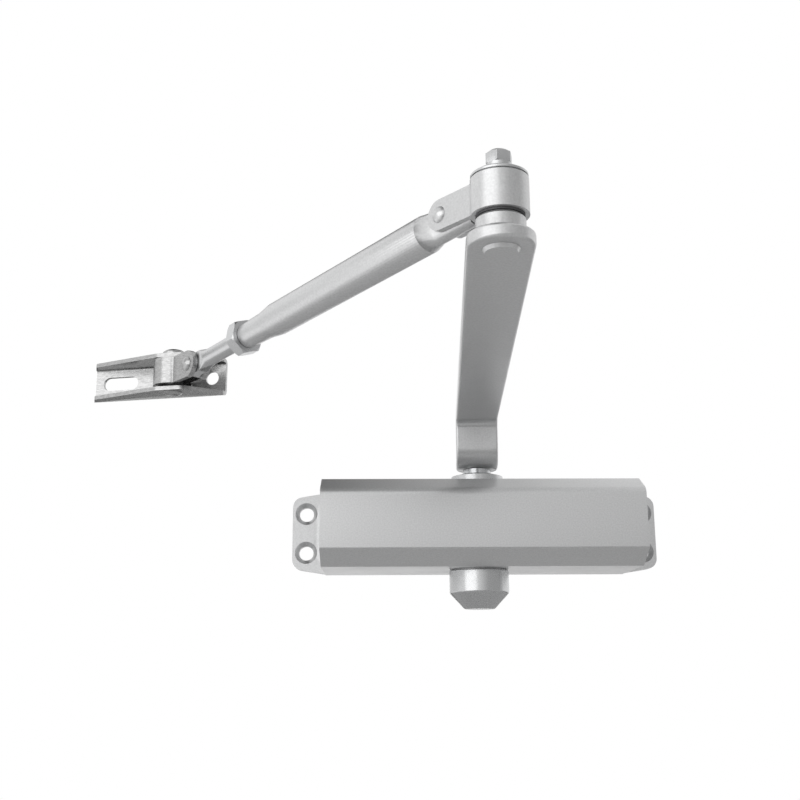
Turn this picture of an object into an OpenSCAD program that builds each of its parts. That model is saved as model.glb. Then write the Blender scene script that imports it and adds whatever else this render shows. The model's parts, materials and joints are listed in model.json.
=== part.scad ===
// Surface-mounted door closer with a regular two-piece arm.
// Millimetres. The origin is the centre of the four screw holes, on the face that meets the door.
// +X runs along the body, -Y points away from the door and +Z is up, along the pinion shaft.

/* [Body] */
// Length of the body over its two ears
body_l = 178.4; // [178:0.2:184]
// Length of the housing between the ears
housing_l = 146; // [145:0.5:150]
// Height of the body
body_h = 40; // [40:0.5:44]
// Depth of the body from the door to its front face
body_d = 60; // [58:0.5:64]
// Depth at which the two front slopes start
slope_d = 47; // [46:0.5:48]
// Height of the front face between the slopes
face_h = 26.6; // [26:0.2:30]

/* [Ears] */
// Thickness of each ear
ear_t = 6.2; // [5:0.1:8]
// Height of an ear where it leaves the housing
ear_h = 39.4; // [38:0.2:40]
// Drop of the ear's edge from the housing to its corner
ear_drop = 2.6; // [1:0.2:4]
// Distance between the screw holes along the body
hole_x = 165; // [164:0.5:167]
// Distance between the screw holes across the body
hole_z = 19; // [18:0.5:20]
// Diameter of each screw hole
hole_d = 7; // [6:0.1:7.4]
// Diameter of the countersink of each screw hole
sink_d = 10.8; // [9:0.1:11.4]

/* [Bore] */
// Diameter of the bore that holds the piston and the spring
bore_d = 30; // [30:0.1:30.4]
// Distance of the bore's axis and of the pinion from the door
axis_y = 27; // [26.5:0.1:28]
// Length of the left end plug
plug_left_l = 10; // [9:0.5:11]
// Length of the right end plug, which is the piston's stop
plug_right_l = 16; // [15:0.5:16]

/* [Pinion and rack] */
// Number of teeth on the pinion
teeth = 10; // [10:1:10]
// Module of the teeth
module_m = 1.5; // [1.5:0.05:1.5]
// Pressure angle of the teeth
pressure = 25; // [25:1:25]
// Diameter of the pinion shaft
shaft_d = 13.2; // [13:0.1:13.4]
// Side of the square ends of the shaft
square_w = 8.8; // [8.4:0.1:9]
// Height of the toothed part
gear_h = 16; // [14:0.5:16]
// Turn of the arm from closed to wide open
arm_travel = 170; // [120:5:172]

/* [Spring] */
// Wire diameter of the closing spring
wire_d = 3.2; // [2.6:0.1:3.2]
// Number of coils
coils = 6.5; // [5:0.5:6.5]
// Mean diameter of the coils
coil_d = 23.2; // [22:0.2:24]

/* [Main arm] */
// Distance from the pinion to the elbow
arm_l = 232; // [200:1:250]
// Direction of the arm from the pinion, seen from above
arm_dir = -93; // [-100:1:-85]
// Width of the arm
arm_w = 19.6; // [18:0.2:21]
// Thickness of the arm
arm_t = 4.3; // [3.8:0.1:5]
// Height of the arm's underside at the pinion
arm_low = 27.3; // [27:0.1:28]
// Height of the arm's underside at the elbow
arm_high = 48.5; // [44:0.5:50]

/* [Elbow] */
// Outer diameter of the strap's barrel
barrel_d = 16.7; // [16:0.1:17.5]
// Height of the barrel
barrel_h = 10.9; // [10.8:0.1:12]
// Height of the strap's two legs
leg_h = 9.6; // [9:0.1:9.6]
// Distance from the elbow to the rivet in the legs
elbow_reach = 20.5; // [20.5:0.5:22]

/* [Forearm] */
// Direction of the forearm from the elbow, seen from above
fore_dir = 129; // [125:1:135]
// Downward slope of the forearm
fore_tilt = 4.5; // [0:0.1:6]
// Distance between the rivets at the forearm's two ends
fore_l = 149.5; // [146:0.5:152]
// Outer diameter of the tube
tube_d = 11.8; // [11:0.1:12.5]
// Diameter of the rod
rod_d = 6.6; // [6:0.1:7]
// Width of the lock nut across its flats
lock_af = 12; // [11:0.5:13]

/* [Foot] */
// Distance from the rivet to the foot's pin
foot_reach = 17.5; // [17:0.5:21]
// Turn of the foot about its pin, seen from above
foot_dir = -12.7; // [-20:0.1:-5]
// Length of the foot from its pin to the slotted end
foot_left = 38.4; // [37:0.2:42]
// Length of the foot from its pin to the other end
foot_right = 19; // [18:0.2:21]
// Height of the foot
foot_h = 15.4; // [15:0.1:16.4]
// Thickness of the foot's sheet steel
foot_t = 1.6; // [1.4:0.1:1.7]
// Distance from the foot's pin to the face on the door frame
foot_back = 10.6; // [10.4:0.1:12]
// Depth of the foot's sides at the pin
foot_deep = 16; // [15.6:0.1:17]

/* [Hidden] */
$fn = 64;

// Small amount by which a cutter passes the face that it cuts
over = 1;
// Gap between parts that turn or slide in one another
run = 0.05;

// Housing
ear_x = body_l / 2;
house_x = housing_l / 2;
bore_r = bore_d / 2;
cast_edge_r = 1.2;
face_edge_r = 4.2;
ear_corner_r = 5;
sink_depth = 3;

// Pinion shaft and its bearings, mirrored for the lower end
nut_thread_r = 11;
nut_flange_r = 12.25;
nut_base = body_h / 2;
nut_flange_h = 3.9;
nut_top = nut_base + 5;
nut_low = 15.2;
bearing_r = 8.95;
bearing_low = 15.5;
bearing_top = 20.5;
seal_r = 8.5;
seal_low = 20.8;
seal_top = 23;
shaft_r = shaft_d / 2;
arm_screw_r = 3;
square_end = arm_low + arm_t - 0.3;
shaft_foot = -25.4;
square_foot = -33;

// Shaft cap
cap_r = 13.9;
cap_top = -20.3;
cap_shoulder = -30.7;
cap_end = -38;
cap_end_r = 7;
cap_wall = 1.4;

// Teeth
pitch_r = module_m * teeth / 2;
base_r = pitch_r * cos(pressure);
addendum = 0.85 * module_m;
dedendum = 1.1 * module_m;
tip_r = pitch_r + addendum;
root_r = pitch_r - dedendum;
tooth_pitch = PI * module_m;
backlash = 0.12;
rack_travel = pitch_r * arm_travel * PI / 180;

// Piston, at rest against the right end plug
piston_r = bore_r - run;
window_gap = tip_r + 1;
window_half = tip_r + 0.5;
piston_right = house_x - 1 - plug_right_l - 0.3;
window_right = rack_travel + window_gap;
piston_left = -window_gap - 6;
rack_h = gear_h - 0.8;
groove_x = piston_right - 6;
ball_r = 2.6;
ball_seat_r = 1.5;
ball_seat_x = piston_right - 11.7;
ball_x = ball_seat_x + sqrt(ball_r * ball_r - ball_seat_r * ball_seat_r) + 0.03;
ball_bore_r = 3;
ball_lift = 1.2;

// End plugs and their rings
plug_r = bore_r - run;
ring_r = 1.2;
ring_centre_r = bore_r - run - ring_r;
groove_r = ring_centre_r - ring_r - run;
groove_w = 3;
socket_af = 12;
plug_left_x = -house_x + 1;
plug_right_x = house_x - 1;

// Valves
valve_y = -51;
valve_z = 6.5;
valve_r = 3.4;
valve_l = 18;
port_r = 1.3;
valve_ring_r = 0.7;

// Main arm
arm_end_r = arm_w / 2;
arm_top = arm_high + arm_t;
rise_s = 12.5;
rise_lean = 1;

// Elbow
elbow = [arm_l * cos(arm_dir), arm_l * sin(arm_dir) - axis_y];
collar_top = arm_top + 4.9;
barrel_low = collar_top + 0.7;
barrel_top = barrel_low + barrel_h;
fore_z = barrel_low + 6.05;
stud_r = 4.5;
bush_r = 6.3;
elbow_bolt_r = 2;
elbow_washer_r = barrel_d / 2 - 0.1;
bolt_af = 7;
bolt_h = 4.2;
bolt_neck_h = 2.5;
strap_t = 2;
gap_half = 2.75;
strap_fillet = 2.5;
disc_h = 1.1;
rivet_r = 2.2;

// Forearm, in its own frame: from the elbow rivet along the tube
tube_drop = 0.9;
flat_half = gap_half - 0.15;
flat_h = 10.8;
flat_back = 10.2;
flat_end = 5;
tube_start = 10;
cone_start = 91;
cone_end = 98;
tube_end = 111;
neck_r1 = 5;
neck_r2 = 4.6;
tube_bore_r = tube_d / 2 - 1.1;
rod_r = rod_d / 2;
nut_t = 5;
rod_inner = 64;
rod_round_end = 138;
rod_eye_r = 4.6;

// Foot
foot_pin_r = 3.4;
foot_barrel_r = 8;
foot_barrel_h = 10.7;
foot_bush_r = 6;
pin_head_r = 4.7;
foot_gap_half = 2;
foot_fillet = 1;
foot_bend_r = 2.4;
screw_r = 2.8;
slot_x = -27.3;
slot_l = 15.5;
round_x = 13.1;

fore_axis = [cos(fore_dir), sin(fore_dir)];
elbow_rivet_at = [elbow[0] + elbow_reach * fore_axis[0], elbow[1] + elbow_reach * fore_axis[1], fore_z];
flat_l = fore_l * cos(fore_tilt);
foot_rivet_at = elbow_rivet_at + [flat_l * fore_axis[0], flat_l * fore_axis[1], -tube_drop - fore_l * sin(fore_tilt)];
foot_at = foot_rivet_at + [foot_reach * fore_axis[0], foot_reach * fore_axis[1], 0];

// A closed outline whose corners are rounded, each with its own radius
function unit(v) = v / norm(v);
function corner(a, b, c, r, n) = r <= 0 ? [b] :
    let (u = unit(a - b), w = unit(c - b), half = acos(u * w) / 2,
         centre = b + unit(u + w) * r / sin(half),
         p = b + u * r / tan(half) - centre, q = b + w * r / tan(half) - centre,
         start = atan2(p[1], p[0]), sweep = (atan2(q[1], q[0]) - start + 540) % 360 - 180)
    [for (i = [0:n]) centre + r * [cos(start + sweep * i / n), sin(start + sweep * i / n)]];
function rounded(pts, radii, n = 6) = [for (i = [0:len(pts) - 1])
    each corner(pts[(i + len(pts) - 1) % len(pts)], pts[i], pts[(i + 1) % len(pts)], radii[i], n)];

// Involute flank: half the angle of a tooth at radius r
function involute(r) = let (t = sqrt(pow(max(r, base_r) / base_r, 2) - 1)) t * 180 / PI - atan(t);
function half_tooth(r) = 90 / teeth - backlash / pitch_r * 90 / PI + involute(pitch_r) - involute(r);
function polar(r, a) = [r * cos(a), r * sin(a)];
flank = [root_r, for (i = [0:5]) base_r + (tip_r - base_r) * i / 5];
function tooth(a) = concat([for (r = flank) polar(r, a - half_tooth(r))],
    [for (i = [len(flank) - 1:-1:0]) polar(flank[i], a + half_tooth(flank[i]))]);

// One ring of points of the spring's wire
function wire_ring(x, a, sides) = [for (k = [0:sides - 1])
    let (r = coil_d / 2 + wire_d / 2 * cos(360 * k / sides))
    [x + wire_d / 2 * sin(360 * k / sides), r * cos(a) - axis_y, r * sin(a)]];

// Places
module at_pinion() { translate([0, -axis_y, 0]) children(); }
module along_bore() { translate([0, -axis_y, 0]) rotate([0, 90, 0]) children(); }
module in_arm() { at_pinion() rotate([0, 0, arm_dir]) children(); }
module in_elbow() { translate([elbow[0], elbow[1], 0]) rotate([0, 0, fore_dir]) children(); }
module in_forearm() {
    translate(elbow_rivet_at - [0, 0, tube_drop]) rotate([0, fore_tilt, fore_dir]) children();
}
module in_clevis() { translate(foot_at) rotate([0, 0, fore_dir + 180]) children(); }
module in_foot() { translate(foot_at) rotate([0, 0, foot_dir]) children(); }

// A ring, from its inner and outer radius and its lower and upper end
module tube(r_in, r_out, low, high) {
    difference() {
        translate([0, 0, low]) cylinder(r = r_out, h = high - low);
        translate([0, 0, low - over]) cylinder(r = r_in, h = high - low + 2 * over);
    }
}
module disc(r, low, high) { translate([0, 0, low]) cylinder(r = r, h = high - low); }
module hex(af, low, high) {
    translate([0, 0, low]) cylinder(r = af / 2 / cos(30), h = high - low, $fn = 6);
}
module ring(centre_r, r) { rotate_extrude() translate([centre_r, 0]) circle(r = r, $fn = 32); }

// Housing
module housing_section() {
    polygon(rounded(
        [[0, -body_h / 2], [0, body_h / 2], [-slope_d, body_h / 2], [-body_d, face_h / 2],
         [-body_d, -face_h / 2], [-slope_d, -body_h / 2]],
        [0.4, 0.4, cast_edge_r, face_edge_r, cast_edge_r, cast_edge_r]));
}
module ear_plate() {
    low = ear_h / 2 - ear_drop;
    rotate([90, 0, 0]) linear_extrude(ear_t) polygon(rounded(
        [[-ear_x, -low], [-house_x, -ear_h / 2], [house_x, -ear_h / 2], [ear_x, -low],
         [ear_x, low], [house_x, ear_h / 2], [-house_x, ear_h / 2], [-ear_x, low]],
        [ear_corner_r, 0, 0, ear_corner_r, ear_corner_r, 0, 0, ear_corner_r]));
}
module screw_hole() {
    rotate([90, 0, 0]) {
        disc(hole_d / 2, -over, ear_t + over);
        translate([0, 0, ear_t - sink_depth])
            cylinder(r1 = hole_d / 2, r2 = sink_d / 2, h = sink_depth);
        disc(sink_d / 2, ear_t, ear_t + 4);
    }
}
module valve_pocket(side, port_x) {
    translate([0, valve_y, side * valve_z]) rotate([0, 90, 0]) {
        disc(valve_r + run, house_x - valve_l, house_x + over);
        disc(port_r, -4, house_x - valve_l + over);
    }
    for (x = [-4 + port_r, port_x])
        translate([x, valve_y, side * valve_z]) rotate([-90, 0, 0]) disc(port_r, 0, 12);
}
module closer_body() {
    color("#c4c5c7") difference() {
        union() {
            translate([-house_x, 0, 0]) rotate([90, 0, 90]) linear_extrude(housing_l) housing_section();
            ear_plate();
        }
        along_bore() disc(bore_r, -house_x - over, house_x + over);
        at_pinion() disc(nut_thread_r, -nut_base - over, nut_base + over);
        for (x = [-1, 1], z = [-1, 1])
            translate([x * hole_x / 2, 0, z * hole_z / 2]) screw_hole();
        valve_pocket(1, piston_right - 8);
        valve_pocket(-1, piston_right - 1.5);
    }
}

// End plugs, with a hexagon socket outside and an oil ring round each
module end_plug(outer_x, length, side) {
    inner_x = outer_x - side * length;
    ring_x = outer_x - side * length / 2;
    color("#9a9c9f") along_bore() difference() {
        disc(plug_r, min(inner_x, outer_x), max(inner_x, outer_x));
        translate([0, 0, outer_x]) hex(socket_af, -5, 5);
        tube(groove_r, plug_r + over, ring_x - groove_w / 2, ring_x + groove_w / 2);
    }
}
module end_plug_left() { end_plug(plug_left_x, plug_left_l, -1); }
module end_plug_right() { end_plug(plug_right_x, plug_right_l, 1); }
module end_seal(x) { color("#26282a") along_bore() translate([0, 0, x]) ring(ring_centre_r, ring_r); }
module end_seal_left() { end_seal(plug_left_x + plug_left_l / 2); }
module end_seal_right() { end_seal(plug_right_x - plug_right_l / 2); }

// Closing spring: one helix of round wire between the left plug and the piston
module closing_spring() {
    sides = 8;
    steps = 20 * coils;
    low = plug_left_x + plug_left_l + wire_d / 2 + run;
    high = piston_left - wire_d / 2 - run;
    points = [for (i = [0:steps]) each wire_ring(low + (high - low) * i / steps, 18 * i, sides)];
    walls = [for (i = [0:steps - 1], k = [0:sides - 1])
        [i * sides + k, i * sides + (k + 1) % sides, (i + 1) * sides + (k + 1) % sides, (i + 1) * sides + k]];
    ends = [[for (k = [sides - 1:-1:0]) k], [for (k = [0:sides - 1]) steps * sides + k]];
    color("#5c6064") polyhedron(points, concat(walls, ends), convexity = 10);
}

// Piston: a slotted cylinder with a rack inside, a ring and a check valve in its right head
module rack_teeth() {
    half = tooth_pitch / 4 - backlash / 2;
    lean = tan(pressure);
    last = floor(window_right / tooth_pitch);
    for (k = [-2:last]) translate([(k + 0.5) * tooth_pitch, -pitch_r]) polygon([
        [-half - dedendum * lean, -dedendum - 0.4], [-half - dedendum * lean, -dedendum],
        [-half + addendum * lean, addendum], [half - addendum * lean, addendum],
        [half + dedendum * lean, -dedendum], [half + dedendum * lean, -dedendum - 0.4]]);
}
module rack_piston() {
    color("#7f8286") difference() {
        union() {
            difference() {
                along_bore() disc(piston_r, piston_left, piston_right);
                translate([-window_gap, -axis_y - window_half, -bore_r])
                    cube([window_right + window_gap, 2 * window_half, bore_d]);
            }
            intersection() {
                at_pinion() translate([0, 0, -rack_h / 2]) linear_extrude(rack_h) rack_teeth();
                translate([piston_left, -axis_y - window_half - over, -bore_r])
                    cube([window_right - piston_left + 2, window_half, bore_d]);
            }
        }
        along_bore() {
            tube(groove_r, piston_r + over, groove_x - groove_w / 2, groove_x + groove_w / 2);
            disc(ball_bore_r, ball_seat_x, piston_right + over);
            disc(ball_seat_r, window_right - over, piston_right);
        }
    }
}
module piston_seal() { end_seal(groove_x); }
module check_ball() { color("#d9dadc") translate([ball_x, -axis_y, 0]) sphere(r = ball_r); }
module check_retainer() {
    low = ball_x + ball_r + ball_lift + 0.1;
    color("#9a9c9f") along_bore() tube(1.2, ball_bore_r - run, low, piston_right - 0.5);
}

// Pinion shaft
module pinion_shaft() {
    color("#8d9094") at_pinion() difference() {
        union() {
            translate([0, 0, -gear_h / 2]) linear_extrude(gear_h)
                polygon([for (k = [0:teeth - 1]) each tooth(360 * k / teeth - 90)]);
            disc(shaft_r, gear_h / 2, arm_low);
            disc(shaft_r, shaft_foot, -gear_h / 2);
            rotate([0, 0, arm_dir]) translate([-square_w / 2, -square_w / 2, arm_low - over])
                cube([square_w, square_w, square_end - arm_low + over]);
            rotate([0, 0, arm_dir]) translate([-square_w / 2, -square_w / 2, square_foot])
                cube([square_w, square_w, shaft_foot - square_foot + over]);
        }
        disc(arm_screw_r, square_end - 14, square_end + over);
    }
}

// Bearings, seals and nuts above the pinion, and the same below it
module bearing() { color("#b9a36a") at_pinion() tube(shaft_r + run, bearing_r, bearing_low, bearing_top); }
module shaft_seal() { color("#26282a") at_pinion() tube(shaft_r + run, seal_r, seal_low, seal_top); }
module bearing_nut() {
    color("#b2b5b9") at_pinion() difference() {
        union() {
            disc(nut_thread_r - run, nut_low, nut_base + over);
            disc(nut_flange_r, nut_base, nut_base + nut_flange_h);
            translate([0, 0, nut_base + nut_flange_h])
                cylinder(r1 = nut_flange_r - 0.6, r2 = shaft_r + 1.6, h = nut_top - nut_base - nut_flange_h);
        }
        disc(bearing_r + run, nut_low - over, bearing_top + 0.1);
        disc(seal_r + run, bearing_top, seal_top + 0.1);
        disc(shaft_r + 0.4, seal_top, nut_top + over);
    }
}
module upper_bearing() { bearing(); }
module lower_bearing() { mirror([0, 0, 1]) bearing(); }
module upper_shaft_seal() { shaft_seal(); }
module lower_shaft_seal() { mirror([0, 0, 1]) shaft_seal(); }
module upper_bearing_nut() { bearing_nut(); }
module lower_bearing_nut() { mirror([0, 0, 1]) bearing_nut(); }

// Cap over the unused lower end of the shaft
module cap_shape(inset) {
    slope = (cap_r - cap_end_r) / (cap_shoulder - cap_end);
    polygon([[0, cap_end + inset], [cap_end_r - inset * (1 - slope) * 0.5, cap_end + inset],
        [cap_r - inset, cap_shoulder + inset * 0.4], [cap_r - inset, cap_top + (inset > 0 ? over : 0)],
        [0, cap_top + (inset > 0 ? over : 0)]]);
}
module shaft_cap() {
    color("#c9cbce") at_pinion() rotate_extrude() difference() {
        cap_shape(0);
        cap_shape(cap_wall);
    }
}

// Speed valves in the right end, each with its oil ring
module speed_valve(side) {
    color("#b9a36a") translate([0, valve_y, side * valve_z]) rotate([0, 90, 0]) difference() {
        union() {
            disc(valve_r, house_x - valve_l + 6, house_x - 0.4);
            translate([0, 0, house_x - valve_l + 0.5]) cylinder(r1 = 0.6, r2 = valve_r - 1, h = 6);
        }
        tube(valve_r - 1.5, valve_r + over, house_x - 8, house_x - 6);
        translate([-valve_r - over, -0.5, house_x - 1.8]) cube([2 * valve_r + 2 * over, 1, 3]);
    }
}
module valve_seal(side) {
    color("#26282a") translate([house_x - 7, valve_y, side * valve_z]) rotate([0, 90, 0])
        ring(valve_r - valve_ring_r, valve_ring_r - run);
}
module closing_speed_valve() { speed_valve(1); }
module latching_speed_valve() { speed_valve(-1); }
module closing_valve_seal() { valve_seal(1); }
module latching_valve_seal() { valve_seal(-1); }

// Main arm: a flat strip that steps up just past the pinion
module main_arm() {
    color("#a6a8aa") in_arm() difference() {
        intersection() {
            translate([0, arm_w, 0]) rotate([90, 0, 0]) linear_extrude(2 * arm_w) polygon(rounded(
                [[-arm_w, arm_low], [rise_s, arm_low], [rise_s + rise_lean, arm_high],
                 [arm_l + arm_w, arm_high], [arm_l + arm_w, arm_top],
                 [rise_s + rise_lean - arm_t, arm_top], [rise_s - arm_t, arm_low + arm_t],
                 [-arm_w, arm_low + arm_t]],
                [0, 9.5, 3.5, 0, 0, 6, 2.4, 0], 12));
            linear_extrude(arm_top + over) {
                circle(r = arm_end_r);
                translate([0, -arm_end_r]) square([arm_l, arm_w]);
                translate([arm_l, 0]) circle(r = arm_end_r);
            }
        }
        translate([-square_w / 2 - run, -square_w / 2 - run, 0])
            cube([square_w + 2 * run, square_w + 2 * run, arm_low + arm_t + 0.2]);
        translate([arm_l, 0, 0]) disc(stud_r + run, arm_high - over, arm_top + over);
    }
}
module arm_washer() {
    low = arm_low + arm_t;
    color("#c9cbce") at_pinion() tube(arm_screw_r + run, 5.6, low, low + 1.2);
}
module arm_screw() {
    low = arm_low + arm_t + 1.2;
    color("#b2b5b9") at_pinion() {
        disc(arm_screw_r - run, square_end - 12, low + 1);
        hex(9, low, low + 4);
    }
}

// Elbow
module elbow_stud() {
    color("#b2b5b9") translate([elbow[0], elbow[1], 0]) difference() {
        union() {
            translate([0, 0, arm_high - disc_h]) cylinder(r1 = 4.7, r2 = 5.4, h = disc_h);
            disc(stud_r, arm_high - 0.2, barrel_top + 0.1);
            translate([0, 0, arm_top]) cylinder(r1 = 8.2, r2 = 7.2, h = 0.8);
            disc(7.2, arm_top + 0.7, collar_top - 0.8);
            translate([0, 0, collar_top - 0.9]) cylinder(r1 = 7.2, r2 = 6.6, h = 0.9);
        }
        disc(elbow_bolt_r, barrel_top - 12, barrel_top + over);
    }
}
module elbow_bush() {
    color("#3a3c3e") translate([elbow[0], elbow[1], 0]) {
        tube(stud_r + run, bush_r, collar_top + 0.1, barrel_top - 0.1);
        tube(stud_r + run, 7, collar_top + 0.1, barrel_low - 0.05);
    }
}
module elbow_washer() {
    color("#c9cbce") translate([elbow[0], elbow[1], 0]) difference() {
        union() {
            disc(elbow_washer_r - 0.7, barrel_top + 0.15, barrel_top + 0.6);
            disc(elbow_washer_r, barrel_top + 0.5, barrel_top + 1.2);
            translate([0, 0, barrel_top + 1.1]) cylinder(r1 = elbow_washer_r, r2 = elbow_washer_r - 1.1, h = 0.8);
        }
        disc(elbow_bolt_r + run, barrel_top - over, barrel_top + 3);
    }
}
module elbow_bolt() {
    low = barrel_top + 1.9;
    head = low + bolt_neck_h;
    color("#d0d2d5") translate([elbow[0], elbow[1], 0]) {
        disc(elbow_bolt_r - run, barrel_top - 10, head + 1);
        disc(3.7, low, head + 0.2);
        intersection() {
            rotate([0, 0, 17]) hex(bolt_af, head, head + bolt_h);
            union() {
                translate([0, 0, head]) cylinder(r1 = 3.3, r2 = 4.1, h = 0.5);
                disc(bolt_af, head + 0.4, head + bolt_h - 0.9);
                translate([0, 0, head + bolt_h - 1]) cylinder(r1 = 4, r2 = 2.7, h = 1);
            }
        }
    }
}

// A bent strip: an eye with two straight legs that end round at a rivet, and a slit between them
module strap(r_out, r_in, low, high, mid, leg, reach, gap, pin_r, fillet) {
    outer = gap + strap_t;
    fx = sqrt(pow(r_out + fillet, 2) - pow(outer + fillet, 2));
    turn = atan2(fx, outer + fillet);
    side = concat([[r_in + 0.5, gap / 2], [fx, outer + fillet] * (r_out - 0.5) / (r_out + fillet)],
        [for (i = [1:5]) [fx, outer + fillet] - fillet * [sin(turn * (5 - i) / 5), cos(turn * (5 - i) / 5)]],
        [[reach + 6, outer], [reach + 6, gap / 2]]);
    difference() {
        union() {
            disc(r_out, low, high);
            intersection() {
                translate([0, 0, mid - leg / 2]) linear_extrude(leg) for (s = [-1, 1])
                    polygon([for (q = side) [q[0], s * q[1]]]);
                union() {
                    translate([0, -r_out, low]) cube([reach, 2 * r_out, high - low]);
                    translate([reach, 0, mid]) rotate([90, 0, 0]) disc(leg / 2, -r_out, r_out);
                }
            }
        }
        disc(r_in, low - over, high + over);
        translate([0, -gap, low - over]) cube([reach + leg, 2 * gap, high - low + 2 * over]);
        translate([reach, 0, mid]) rotate([90, 0, 0]) disc(pin_r, -r_out, r_out);
    }
}
// A rivet across the legs with a domed head at both sides
module rivet(reach, z, half, pin_r, head_r, head_h) {
    translate([reach, 0, z]) rotate([90, 0, 0]) {
        disc(pin_r, -half, half);
        for (s = [0, 1]) mirror([0, 0, s]) translate([0, 0, half]) intersection() {
            disc(head_r, 0, head_h);
            translate([0, 0, head_h - head_r * 1.25]) sphere(r = head_r * 1.25);
        }
    }
}
module elbow_strap() {
    color("#c3c4c6") in_elbow()
        strap(barrel_d / 2, bush_r + 0.02, barrel_low, barrel_top, fore_z, leg_h, elbow_reach, gap_half,
        rivet_r + 0.02, strap_fillet);
}
module elbow_rivet() {
    color("#c3c4c6") in_elbow() rivet(elbow_reach, fore_z, gap_half + strap_t, rivet_r, 2.6, 1.3);
}

// Forearm
module flat_section(half, h) {
    hull() for (s = [-1, 1]) translate([0, s * (h / 2 - half)]) circle(r = half, $fn = 24);
}
module forearm_tube() {
    color("#bfc0c2") in_forearm() difference() {
        union() {
            rotate([0, 90, 0]) {
                disc(tube_d / 2, tube_start, cone_start);
                translate([0, 0, cone_start]) cylinder(r1 = tube_d / 2, r2 = neck_r1, h = cone_end - cone_start);
                translate([0, 0, cone_end]) cylinder(r1 = neck_r1, r2 = neck_r2, h = tube_end - cone_end);
            }
            hull() {
                rotate([0, 90, 0]) translate([0, 0, tube_start]) cylinder(r = tube_d / 2, h = 0.6, $fn = 48);
                rotate([90, 0, 90]) translate([0, 0, flat_end]) linear_extrude(0.6) flat_section(flat_half, flat_h);
            }
            rotate([90, 0, 90]) translate([0, 0, -flat_back]) linear_extrude(flat_back + flat_end + 0.4)
                flat_section(flat_half, flat_h);
        }
        rotate([90, 0, 90]) translate([0, 0, -flat_back - over]) linear_extrude(flat_back + tube_start + 4)
            flat_section(flat_half - 1.3, flat_h - 2.6);
        rotate([0, 90, 0]) {
            disc(tube_bore_r, tube_start + 2, cone_start);
            disc(rod_r + run, cone_start - over, tube_end + over);
        }
        translate([-tube_drop * sin(fore_tilt), 0, tube_drop * cos(fore_tilt)])
            rotate([90, 0, 0]) disc(rivet_r + run, -tube_d, tube_d);
    }
}
module lock_nut() {
    color("#c9cbce") in_forearm() rotate([0, 90, 0]) difference() {
        intersection() {
            rotate([0, 0, 12]) hex(lock_af, tube_end + 0.2, tube_end + 0.2 + nut_t);
            union() {
                translate([0, 0, tube_end + 0.2]) cylinder(r1 = lock_af / 2 + 0.2, r2 = lock_af / 2 + 1, h = 0.8);
                disc(lock_af / 2 + 1, tube_end + 1, tube_end + nut_t - 0.6);
                translate([0, 0, tube_end + nut_t - 0.6])
                    cylinder(r1 = lock_af / 2 + 1, r2 = lock_af / 2 + 0.2, h = 0.8);
            }
        }
        disc(rod_r + run, tube_end - over, tube_end + nut_t + 2);
    }
}
module forearm_rod() {
    eye_half = foot_gap_half - 0.15;
    color("#b9bbbe") in_forearm() difference() {
        union() {
            rotate([0, 90, 0]) disc(rod_r, rod_inner, rod_round_end + 0.5);
            hull() {
                rotate([0, 90, 0]) translate([0, 0, rod_round_end]) cylinder(r = rod_r, h = 0.5, $fn = 32);
                translate([fore_l - 6.3, -eye_half, 0.5 - rod_eye_r]) cube([0.5, 2 * eye_half, 2 * rod_eye_r - 1]);
            }
            translate([fore_l - 6, -eye_half, 0.5 - rod_eye_r]) cube([6, 2 * eye_half, 2 * rod_eye_r - 1]);
            translate([fore_l, 0, 0]) rotate([90, 0, 0]) disc(rod_eye_r, -eye_half, eye_half);
        }
        translate([fore_l, 0, 0]) rotate([90, 0, 0]) disc(rivet_r + run, -tube_d, tube_d);
    }
}

// Foot
module foot_strap() {
    color("#c3c4c6") in_clevis() strap(foot_barrel_r, foot_bush_r + 0.02, -foot_barrel_h / 2,
        foot_barrel_h / 2, 0, foot_barrel_h, foot_reach, foot_gap_half, rivet_r + 0.02, foot_fillet);
}
module foot_rivet() {
    color("#c3c4c6") in_clevis() rivet(foot_reach, 0, foot_gap_half + strap_t, rivet_r, 3, 1.6);
}
module foot_bush() {
    color("#3a3c3e") translate(foot_at)
        tube(foot_pin_r + run, foot_bush_r, -foot_barrel_h / 2, foot_barrel_h / 2);
}
module foot_pin() {
    color("#c9cbce") translate(foot_at) {
        disc(foot_pin_r, -foot_h / 2 - 0.1, foot_h / 2 + 0.1);
        disc(pin_head_r, foot_h / 2, foot_h / 2 + 1.2);
        translate([0, 0, foot_h / 2 + 1.2]) cylinder(r1 = pin_head_r, r2 = pin_head_r - 1.4, h = 0.9);
        translate([0, 0, -foot_h / 2 - 1]) cylinder(r1 = 2.4, r2 = 4, h = 1);
    }
}
module foot_side() {
    front = foot_back - foot_deep;
    polygon(rounded(
        [[-foot_left, foot_back + over], [-foot_left, foot_back - 2.4], [2.2 - foot_left, foot_back - 6.8],
         [-5, front], [6, front], [foot_right, foot_back - 3.6], [foot_right, foot_back + over]],
        [0, 1, 1.6, 5, 6, 2, 0]));
}
module foot_section() {
    front = foot_back - foot_deep - over;
    inner = foot_back - foot_t;
    high = foot_h / 2;
    polygon(rounded(
        [[front, -high], [foot_back, -high], [foot_back, high], [front, high],
         [front, high - foot_t], [inner, high - foot_t], [inner, foot_t - high], [front, foot_t - high]],
        [0, foot_bend_r, foot_bend_r, 0, 0, foot_bend_r - foot_t, foot_bend_r - foot_t, 0]));
}
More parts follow.
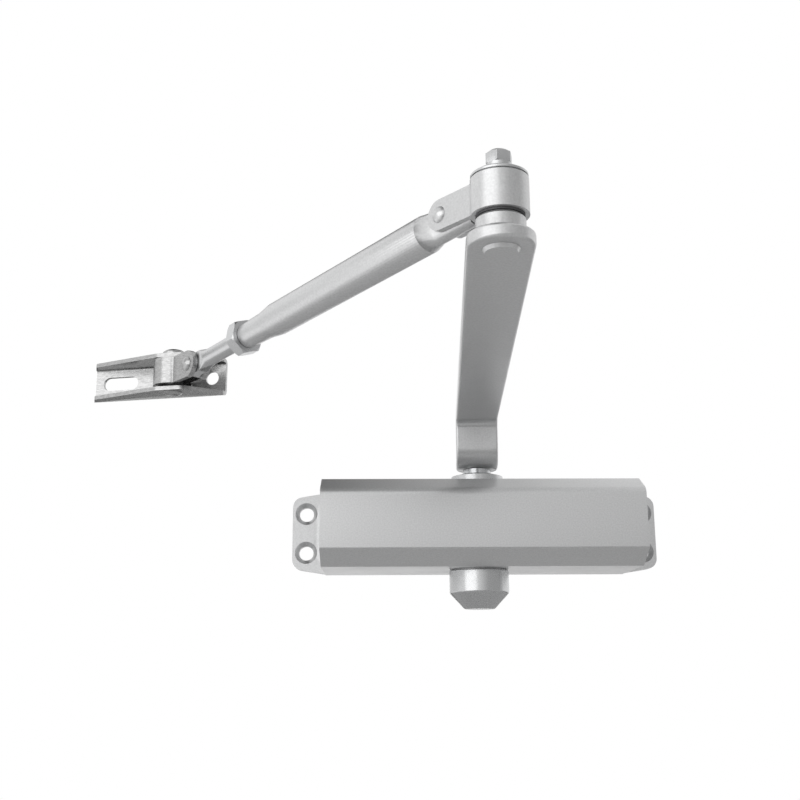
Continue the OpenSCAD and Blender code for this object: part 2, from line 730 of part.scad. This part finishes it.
module foot_bracket() {
    color("#b4b6b9") in_foot() difference() {
        intersection() {
            translate([-foot_left - over, 0, 0]) rotate([90, 0, 90])
                linear_extrude(foot_left + foot_right + 2 * over) foot_section();
            translate([0, 0, -foot_h]) linear_extrude(2 * foot_h) foot_side();
        }
        disc(foot_pin_r + 0.02, -foot_h, foot_h);
        translate([round_x, foot_back + over, 0]) rotate([90, 0, 0]) disc(screw_r, 0, foot_t + 2 * over);
        for (s = [-1, 1])
            translate([slot_x + s * (slot_l / 2 - screw_r), foot_back + over, 0]) rotate([90, 0, 0])
                disc(screw_r, 0, foot_t + 2 * over);
        translate([slot_x - slot_l / 2 + screw_r, foot_back - foot_t - over, -screw_r])
            cube([slot_l - 2 * screw_r, foot_t + 2 * over, 2 * screw_r]);
    }
}

closer_body();
end_plug_left();
end_plug_right();
end_seal_left();
end_seal_right();
closing_spring();
rack_piston();
piston_seal();
check_ball();
check_retainer();
pinion_shaft();
upper_bearing();
lower_bearing();
upper_bearing_nut();
lower_bearing_nut();
upper_shaft_seal();
lower_shaft_seal();
shaft_cap();
closing_speed_valve();
latching_speed_valve();
closing_valve_seal();
latching_valve_seal();
main_arm();
arm_washer();
arm_screw();
elbow_stud();
elbow_bush();
elbow_strap();
elbow_washer();
elbow_bolt();
elbow_rivet();
forearm_tube();
lock_nut();
forearm_rod();
foot_strap();
foot_rivet();
foot_bush();
foot_pin();
foot_bracket();
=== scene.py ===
"""Looks of a surface-mounted door closer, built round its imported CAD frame."""

import json
import math

import bmesh
import bpy
from mathutils import Matrix, Vector

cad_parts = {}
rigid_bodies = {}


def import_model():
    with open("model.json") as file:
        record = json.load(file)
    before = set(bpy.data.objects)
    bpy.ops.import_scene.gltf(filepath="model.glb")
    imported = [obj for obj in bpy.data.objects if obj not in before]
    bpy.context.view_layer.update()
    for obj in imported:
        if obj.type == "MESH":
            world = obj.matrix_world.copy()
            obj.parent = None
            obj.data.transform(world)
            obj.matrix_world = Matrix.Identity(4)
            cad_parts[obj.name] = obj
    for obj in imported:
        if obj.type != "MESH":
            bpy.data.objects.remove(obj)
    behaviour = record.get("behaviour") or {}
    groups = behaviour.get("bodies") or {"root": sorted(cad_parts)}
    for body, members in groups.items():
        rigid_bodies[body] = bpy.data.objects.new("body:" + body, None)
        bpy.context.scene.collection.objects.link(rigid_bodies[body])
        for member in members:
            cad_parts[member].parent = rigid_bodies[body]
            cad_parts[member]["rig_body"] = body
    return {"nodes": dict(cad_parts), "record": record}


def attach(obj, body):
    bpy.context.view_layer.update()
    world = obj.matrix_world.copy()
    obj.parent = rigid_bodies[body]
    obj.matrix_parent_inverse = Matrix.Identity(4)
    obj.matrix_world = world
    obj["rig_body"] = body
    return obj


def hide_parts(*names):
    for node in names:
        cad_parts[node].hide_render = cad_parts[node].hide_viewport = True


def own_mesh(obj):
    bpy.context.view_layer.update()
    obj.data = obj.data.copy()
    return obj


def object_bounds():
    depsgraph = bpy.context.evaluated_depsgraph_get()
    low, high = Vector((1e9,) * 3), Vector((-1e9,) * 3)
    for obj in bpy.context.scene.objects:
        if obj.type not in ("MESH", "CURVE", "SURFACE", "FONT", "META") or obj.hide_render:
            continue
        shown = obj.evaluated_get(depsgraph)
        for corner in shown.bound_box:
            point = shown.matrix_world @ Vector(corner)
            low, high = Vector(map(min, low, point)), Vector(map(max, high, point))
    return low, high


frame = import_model()
cad_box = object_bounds()
MM = 0.001
NODES = frame["nodes"]
SLOT_OF = {row["node"]: row["material_slot"] for row in frame["record"]["subparts"]}


# ---------------------------------------------------------------- materials

BUMP_DEPTH = 0.1 * MM
SILVER = (0.66, 0.663, 0.666)


def shader(name, color, metallic, roughness, coat=0.0):
    """A new material with its Principled shader, and short names for its tree."""
    mat = bpy.data.materials.new(name)
    mat.use_nodes = True
    tree = mat.node_tree
    bsdf = tree.nodes["Principled BSDF"]
    bsdf.inputs["Base Color"].default_value = (*color, 1)
    bsdf.inputs["Metallic"].default_value = metallic
    bsdf.inputs["Roughness"].default_value = roughness
    bsdf.inputs["Coat Weight"].default_value = coat
    bsdf.inputs["Coat Roughness"].default_value = 0.25
    return mat, tree, bsdf


def node(tree, kind, **values):
    """A new node; each named value goes to the input of that name, or else to the node itself."""
    made = tree.nodes.new(kind)
    for key, value in values.items():
        if key in made.inputs:
            made.inputs[key].default_value = value
        else:
            setattr(made, key, value)
    return made


def ramp(tree, source, low, high, at_low, at_high):
    """Values of source from low to high become values from at_low to at_high, and stop there."""
    made = node(tree, "ShaderNodeMapRange")
    made.inputs["From Min"].default_value = low
    made.inputs["From Max"].default_value = high
    made.inputs["To Min"].default_value = at_low
    made.inputs["To Max"].default_value = at_high
    tree.links.new(source, made.inputs["Value"])
    return made.outputs["Result"]


def noise(tree, scale, detail=3.0, stretch=(1, 1, 1)):
    """Noise in the object's own space, scale in features per metre."""
    coords = node(tree, "ShaderNodeTexCoord")
    mapping = node(tree, "ShaderNodeMapping")
    mapping.inputs["Scale"].default_value = stretch
    made = node(tree, "ShaderNodeTexNoise", Scale=scale, Detail=detail)
    tree.links.new(coords.outputs["Object"], mapping.inputs["Vector"])
    tree.links.new(mapping.outputs["Vector"], made.inputs["Vector"])
    return made.outputs["Fac"]


def blend_colors(tree, fac, low, high):
    """The colour low where fac is 0 and high where it is 1."""
    made = node(tree, "ShaderNodeMix", data_type="RGBA")
    color_in = [s for s in made.inputs if s.type == "RGBA"]
    color_in[0].default_value = (*low, 1)
    color_in[1].default_value = (*high, 1)
    tree.links.new(fac, made.inputs["Factor"])
    return [s for s in made.outputs if s.type == "RGBA"][0]


def mix_values(tree, fac, low, high):
    """The value low where fac is 0 and high where it is 1; each is a number or a socket."""
    made = node(tree, "ShaderNodeMix", data_type="FLOAT")
    tree.links.new(fac, made.inputs[0])
    for socket, value in ((made.inputs[2], low), (made.inputs[3], high)):
        if isinstance(value, (int, float)):
            socket.default_value = value
        else:
            tree.links.new(value, socket)
    return made.outputs[0]


def tint(color, strength):
    """The colour made darker or lighter, with no channel above 1."""
    return tuple(min(1, c * strength) for c in color)


def bump(tree, bsdf, height, strength):
    """The surface seems to rise and fall by BUMP_DEPTH, as height does."""
    made = node(tree, "ShaderNodeBump", Strength=strength, Distance=BUMP_DEPTH)
    tree.links.new(height, made.inputs["Height"])
    tree.links.new(made.outputs["Normal"], bsdf.inputs["Normal"])


def silver_paint(name, color, roughness, metallic=0.85, coat=0.0, uneven=0.02):
    """Satin silver paint: fine metal flake, faint orange peel and a little uneven gloss."""
    mat, tree, bsdf = shader(name, color, metallic, roughness, coat)
    flake = ramp(tree, noise(tree, scale=1500), 0.3, 0.7, 0, 1)
    flecked = blend_colors(tree, flake, tint(color, 0.93), tint(color, 1.07))
    tree.links.new(flecked, bsdf.inputs["Base Color"])
    mottle = noise(tree, scale=50, detail=5.0)
    gloss = ramp(tree, mottle, 0.3, 0.7, roughness - uneven, roughness + uneven)
    tree.links.new(gloss, bsdf.inputs["Roughness"])
    bump(tree, bsdf, noise(tree, scale=900), strength=0.06)
    return mat


def plated(name, color, roughness=0.3, grain=0.02, cloudy=0.03, stretch=(1, 1, 1)):
    """Faintly cloudy colour, fine scuffs and uneven gloss, as on zinc plate or turned metal.

    The dark rubber and plastic inside are shaded in the same way.
    """
    mat, tree, bsdf = shader(name, color, 1.0, roughness)
    patches = noise(tree, scale=600, detail=4.0, stretch=stretch)
    cloud = ramp(tree, patches, 0.35, 0.65, 0, 1)
    clouded = blend_colors(tree, cloud, tint(color, 1 - cloudy), tint(color, 1 + cloudy))
    tree.links.new(clouded, bsdf.inputs["Base Color"])
    mottle = noise(tree, scale=1500, stretch=stretch)
    gloss = ramp(tree, mottle, 0.3, 0.7, roughness - 0.04, roughness + 0.05)
    tree.links.new(gloss, bsdf.inputs["Roughness"])
    bump(tree, bsdf, noise(tree, scale=1200, detail=4.0, stretch=stretch), strength=grain)
    return mat


MATERIALS = {
    "body_paint": silver_paint("satin silver body paint", SILVER, 0.32, metallic=0.9, coat=0.3),
    "arm_paint": silver_paint("satin silver arm paint", SILVER, 0.36, uneven=0.04),
    "bright_steel": plated("bright zinc plate", (0.63, 0.635, 0.64), 0.3, grain=0.005, cloudy=0.02),
    "foot_zinc": plated("zinc plated sheet", (0.46, 0.46, 0.46), 0.27, 0.03, 0.16, stretch=(1, 1, 4)),
    "cap_metal": plated("satin plated cap", (0.6, 0.605, 0.61), 0.25, grain=0.004, cloudy=0.01),
    "shaft_steel": plated("ground shaft steel", (0.6, 0.61, 0.62), 0.28),
    "plug_steel": plated("turned plug steel", (0.55, 0.56, 0.57), 0.32),
    "spring_steel": plated("oiled spring steel", (0.22, 0.23, 0.25), 0.35),
    "cast_piston": plated("ground cast iron", (0.35, 0.36, 0.37), 0.42),
    "bearing_bronze": plated("sintered bronze", (0.62, 0.48, 0.28), 0.45),
    "valve_brass": plated("turned brass", (0.72, 0.58, 0.32), 0.28),
    "seal_rubber": plated("seal rubber", (0.03, 0.03, 0.03), 0.7),
    # Dark grey bush plastic. At the elbow its flange fills the gap under the barrel, so this grey is
    # also painted shade for that gap
    "bush_plastic": plated("bush plastic and painted gap shade", (0.16, 0.16, 0.165), 0.55),
}


def paint(obj, slot):
    """obj gets that slot's material and no other."""
    obj.data.materials.clear()
    obj.data.materials.append(MATERIALS[slot])


# ------------------------------------------------------- CAD nodes as pieces

WELD_DISTANCE = 0.001 * MM
FLAT_ANGLE = math.radians(0.5)
BEVEL_SEGMENTS = 3


def body_of_node(name):
    """The body in which the CAD has that node."""
    return NODES[name]["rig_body"]


def soften(name, width, angle):
    """A copy of a CAD node with edges sharper than angle rounded over. It stands for the node."""
    bm = bmesh.new()
    bm.from_mesh(NODES[name].data)
    bmesh.ops.remove_doubles(bm, verts=bm.verts, dist=WELD_DISTANCE)
    bmesh.ops.dissolve_limit(bm, angle_limit=FLAT_ANGLE, verts=bm.verts, edges=bm.edges)
    mesh = bpy.data.meshes.new(name + "_look")
    bm.to_mesh(mesh)
    bm.free()
    mesh.polygons.foreach_set("use_smooth", [True] * len(mesh.polygons))
    mesh.set_sharp_from_angle(angle=angle)
    piece = bpy.data.objects.new(name + "_look", mesh)
    bpy.context.scene.collection.objects.link(piece)
    bevel = piece.modifiers.new("edges", "BEVEL")
    bevel.width = width
    bevel.segments = BEVEL_SEGMENTS
    bevel.limit_method = "ANGLE"
    bevel.angle_limit = angle
    bevel.harden_normals = True
    paint(piece, SLOT_OF[name])
    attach(piece, body_of_node(name))
    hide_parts(name)


for name, cad in NODES.items():
    paint(cad, SLOT_OF[name])

# Width of the rounded edges of each piece, in millimetres
SOFTENED = {
    "closer_body": 0.9, "shaft_cap": 0.6, "upper_bearing_nut": 0.5, "main_arm": 1.3,
    "elbow_stud": 0.4, "elbow_strap": 0.5, "elbow_washer": 0.4, "elbow_bolt": 0.35,
    "elbow_rivet": 0.15, "forearm_tube": 0.4, "lock_nut": 0.3, "forearm_rod": 0.4,
    "foot_strap": 0.3, "foot_rivet": 0.15, "foot_pin": 0.3, "foot_bracket": 0.5,
    "pinion_shaft": 0.2,
}
# Faces that meet at less than this many degrees are shaded as one, with no rounded edge between
SMOOTH_TO = {"forearm_rod": 55, "forearm_tube": 45}
SMOOTH_ELSEWHERE = 30
for name, width in SOFTENED.items():
    soften(name, width * MM, math.radians(SMOOTH_TO.get(name, SMOOTH_ELSEWHERE)))

# The closing spring: a copy of its CAD node with a mesh of its own, in the same body
spring = bpy.data.objects.new("closing_spring_look", NODES["closing_spring"].data.copy())
bpy.context.scene.collection.objects.link(spring)
spring.matrix_world = NODES["closing_spring"].matrix_world.copy()
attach(spring, body_of_node("closing_spring"))
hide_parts("closing_spring")
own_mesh(spring)


# ------------------------------------------------------------ studio, camera

def area_light(name, place, target, size, watts):
    """A rectangular lamp at place that faces target."""
    lamp = bpy.data.lights.new(name, "AREA")
    lamp.shape = "RECTANGLE"
    lamp.size, lamp.size_y = size
    lamp.energy = watts
    holder = bpy.data.objects.new(name, lamp)
    bpy.context.scene.collection.objects.link(holder)
    holder.location = place
    aim = Vector(target) - Vector(place)
    holder.rotation_euler = aim.to_track_quat("-Z", "Y").to_euler()


def softbox(name, azimuth, elevation, width, height, radiance, distance=1.2):
    """A soft light seen from the object's middle at that bearing; azimuth 0 is the front."""
    flat = math.cos(elevation)
    aim = Vector((math.sin(azimuth) * flat, -math.cos(azimuth) * flat, math.sin(elevation)))
    middle = (cad_box[0] + cad_box[1]) / 2
    watts = math.pi * width * height * radiance
    area_light(name, middle + aim * distance, middle, (width, height), watts)


softbox("key", azimuth=math.radians(-38), elevation=math.radians(14),
        width=1.1, height=0.9, radiance=1.25)


def studio_sky(tree):
    """How bright the room is in each direction. East, north and height run from -1 to 1."""
    coords = node(tree, "ShaderNodeTexCoord")
    direction = node(tree, "ShaderNodeSeparateXYZ")
    tree.links.new(coords.outputs["Generated"], direction.inputs["Vector"])
    east, north, height = direction.outputs
    # Front: dimmer where the key light adds to it, and fading to the right
    under_key = ramp(tree, east, -0.95, -0.75, 1.0, 0.55)
    right_of_key = ramp(tree, east, -0.2, 0.5, 1.0, 0.45)
    front = mix_values(tree, ramp(tree, east, -0.28, -0.18, 0, 1), under_key, right_of_key)
    # Overhead and high at the back: a dark patch left of the middle
    overhead = ramp(tree, east, -0.1, 0.2, 0.0, 0.85)
    overhead = mix_values(tree, ramp(tree, east, -0.42, -0.22, 0, 1), 1.0, overhead)
    above = mix_values(tree, ramp(tree, height, 0.62, 0.85, 0, 1), front, overhead)
    back_wall = ramp(tree, east, -0.1, 0.25, 1.4, 1.0)
    back_wall = mix_values(tree, ramp(tree, east, -0.35, -0.12, 0, 1), 0.8, back_wall)
    back = mix_values(tree, ramp(tree, height, 0.22, 0.4, 0, 1), back_wall, overhead)
    upper = mix_values(tree, ramp(tree, north, -0.1, 0.25, 0, 1), above, back)
    # Below the horizon: dark in the middle and at the back, bright on the left
    back_low = ramp(tree, east, -0.3, 0.1, 0.0, 0.2)
    right_low = ramp(tree, east, 0.2, 0.7, 0.15, 0.5)
    front_low = mix_values(tree, ramp(tree, east, -0.7, -0.2, 1, 0), right_low, 1.0)
    horizon = mix_values(tree, ramp(tree, north, -0.1, 0.3, 0, 1), front_low, back_low)
    horizon = mix_values(tree, ramp(tree, east, -0.75, -0.45, 1, 0), horizon, 1.1)
    below = mix_values(tree, ramp(tree, height, -0.7, -0.5, 1, 0), horizon, 0.6)
    return mix_values(tree, ramp(tree, height, -0.24, -0.1, 1, 0), upper, below)


world = bpy.data.worlds.new("studio")
bpy.context.scene.world = world
world.use_nodes = True
sky = world.node_tree
seen = node(sky, "ShaderNodeLightPath")
lit = mix_values(sky, seen.outputs["Is Camera Ray"], studio_sky(sky), 1.0)
sky.links.new(lit, sky.nodes["Background"].inputs["Strength"])
sky.nodes["Background"].inputs["Color"].default_value = (1, 1, 1, 1)

# A pale floor below the closer, which the camera itself sees as plain white
FLOOR_RADIUS = 350 * MM
FLOOR_DROP = 110 * MM
floor_mesh = bpy.data.meshes.new("floor")
floor_bm = bmesh.new()
bmesh.ops.create_circle(floor_bm, cap_ends=True, segments=96, radius=FLOOR_RADIUS)
floor_bm.to_mesh(floor_mesh)
floor_bm.free()
floor = bpy.data.objects.new("floor", floor_mesh)
floor.location = (0, 0, cad_box[0].z - FLOOR_DROP)
bpy.context.scene.collection.objects.link(floor)
floor_mat, floor_tree, floor_bsdf = shader("pale floor", (0.6, 0.6, 0.6), 0.0, 0.8)
floor.data.materials.append(floor_mat)
glow = node(floor_tree, "ShaderNodeEmission", Strength=1.0)
glow.inputs["Color"].default_value = (1, 1, 1, 1)
pick = node(floor_tree, "ShaderNodeMixShader")
path = node(floor_tree, "ShaderNodeLightPath")
floor_tree.links.new(path.outputs["Is Camera Ray"], pick.inputs[0])
floor_tree.links.new(floor_bsdf.outputs["BSDF"], pick.inputs[1])
floor_tree.links.new(glow.outputs["Emission"], pick.inputs[2])
floor_tree.links.new(pick.outputs["Shader"], floor_tree.nodes["Material Output"].inputs["Surface"])

# The camera of the photograph: a little below the closer, looking slightly up
CAMERA_PLACE = Vector((-45.416, -543.657, -64.198)) * MM
PITCH = math.radians(13.738)
YAW = math.radians(0.983)
ROLL = math.radians(-0.309)
FOCAL_LENGTH = 49.261
ahead = Vector((math.sin(YAW), math.cos(YAW), 0))
forward = ahead * math.cos(PITCH) + Vector((0, 0, math.sin(PITCH)))
level = Vector((math.cos(YAW), -math.sin(YAW), 0))
upward = level.cross(forward)
right = level * math.cos(ROLL) + upward * math.sin(ROLL)
up = upward * math.cos(ROLL) - level * math.sin(ROLL)
lens = bpy.data.cameras.new("camera")
lens.sensor_width = 36
lens.lens = FOCAL_LENGTH
lens.clip_start = 0.02
camera = bpy.data.objects.new("camera", lens)
turn = Matrix((right, up, -forward)).transposed().to_4x4()
camera.matrix_world = Matrix.Translation(CAMERA_PLACE) @ turn
bpy.context.scene.collection.objects.link(camera)
bpy.context.scene.camera = camera
bpy.context.scene.view_settings.view_transform = "Standard"
